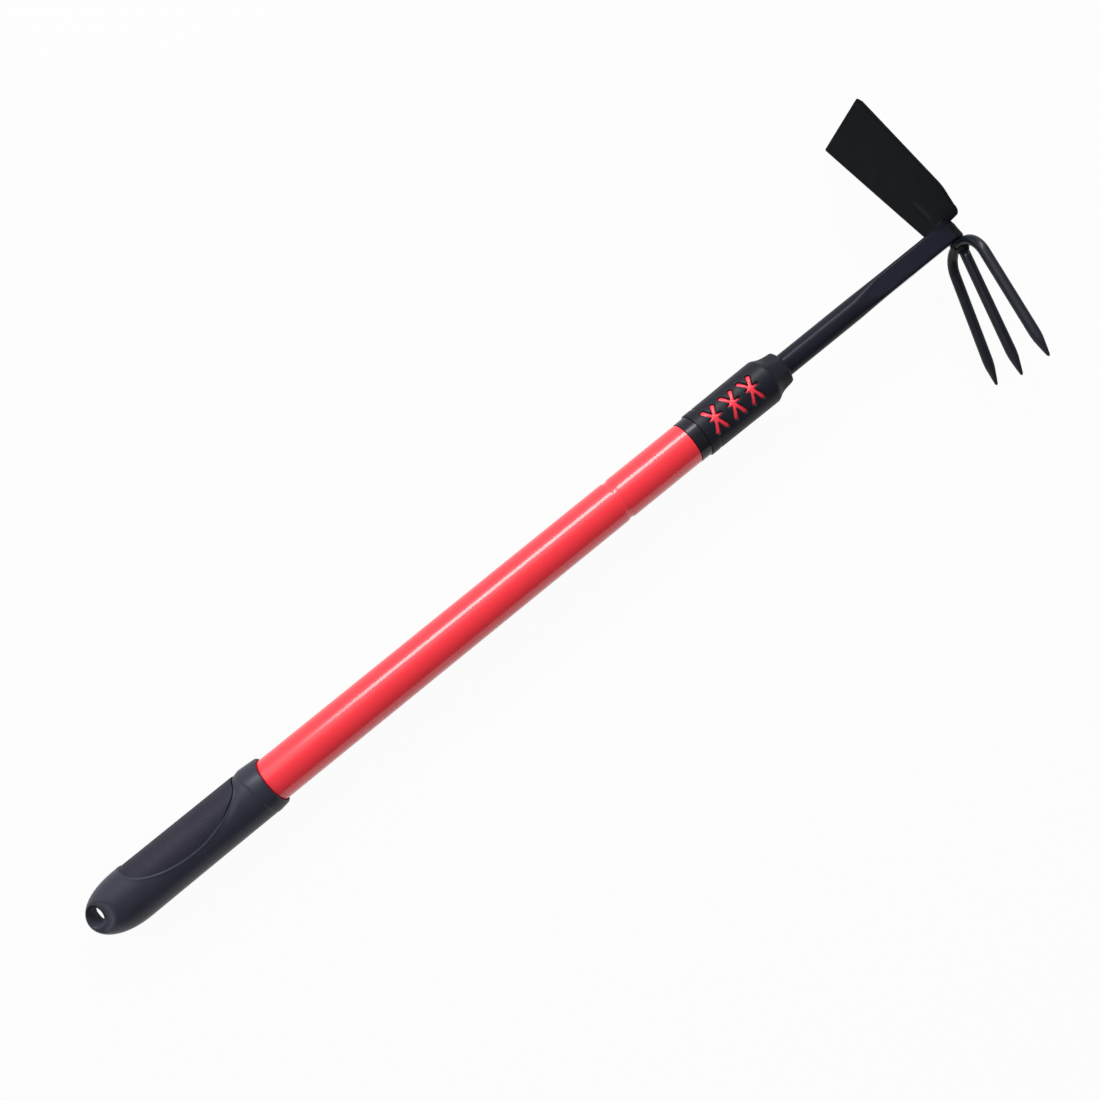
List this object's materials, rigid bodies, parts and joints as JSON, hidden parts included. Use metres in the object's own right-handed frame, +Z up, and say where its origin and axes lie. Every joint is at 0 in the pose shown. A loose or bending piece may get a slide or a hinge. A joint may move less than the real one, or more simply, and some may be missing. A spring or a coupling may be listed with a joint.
{
  "type": "telescopic double hoe",
  "caption": "Hand hoe with a chopping blade on one side and a tined fork on the other, on a twist-lock telescopic steel handle with a moulded grip.",
  "frame": {"origin": "middle of the tool's underside as it lies on its side, on the ground plane", "axes": "+X from the grip towards the head, +Y to the side the blade points to, +Z up; the handle's own axis rises 1.4 degrees from +X, because the tool lies on its grip, the blade's lower corner and the lower tine"},
  "size_m": [0.5992, 0.1754, 0.0591],
  "materials": {
    "grip_plastic": "satin black moulded plastic",
    "pad_rubber": "matte black ribbed rubber",
    "plug_plastic": "plain grey plastic",
    "red_paint": "glossy red powder coat",
    "lock_plastic": "glossy black plastic",
    "clamp_plastic": "natural white plastic",
    "red_plastic": "satin red plastic",
    "sleeve_rubber": "matte black rubber",
    "wiper_rubber": "matte black rubber",
    "black_paint": "satin black powder coat",
    "bush_plastic": "natural grey plastic",
    "pin_steel": "plain steel",
    "blade_paint": "satin black paint on pressed steel",
    "tine_paint": "semi-gloss black paint on steel rod",
    "weld_paint": "black paint over a rough weld bead"
  },
  "bodies": {
    "handle": {"grip_sleeve": "grip_plastic", "grip_pad": "pad_rubber", "tube_plug": "plug_plastic", "outer_tube": "red_paint", "lock_body": "lock_plastic"},
    "clamp": {"clamp_ring": "clamp_plastic"},
    "nut": {"lock_nut": "red_plastic", "nut_sleeve": "sleeve_rubber", "wiper_ring": "wiper_rubber"},
    "head": {"inner_tube": "black_paint", "guide_bush": "bush_plastic", "bush_pin": "pin_steel", "blade": "blade_paint", "outer_tines": "tine_paint", "middle_tine": "tine_paint", "blade_weld": "weld_paint", "end_weld_upper": "weld_paint", "end_weld_lower": "weld_paint", "crown_weld": "weld_paint", "middle_tine_weld": "weld_paint"}
  },
  "joints": [
    {"name": "telescope_slide", "type": "slide", "parent": "handle", "child": "head", "axis": [0.9997, 0, 0.024], "range_m": [0, 0.3]},
    {"name": "clamp_ring_slide", "type": "slide", "parent": "handle", "child": "clamp", "axis": [0.9997, 0, 0.024], "range_m": [0, 0.003]},
    {"name": "lock_twist", "type": "hinge", "parent": "clamp", "child": "nut", "pos_m": [0.10761, 0.00041, 0.02459], "axis": [0.9997, 0, 0.024], "range_deg": [0, 270]}
  ],
  "couplings": [
    {"joint": "clamp_ring_slide", "follows": "lock_twist", "m_per_rad": 0.00063662}
  ]
}
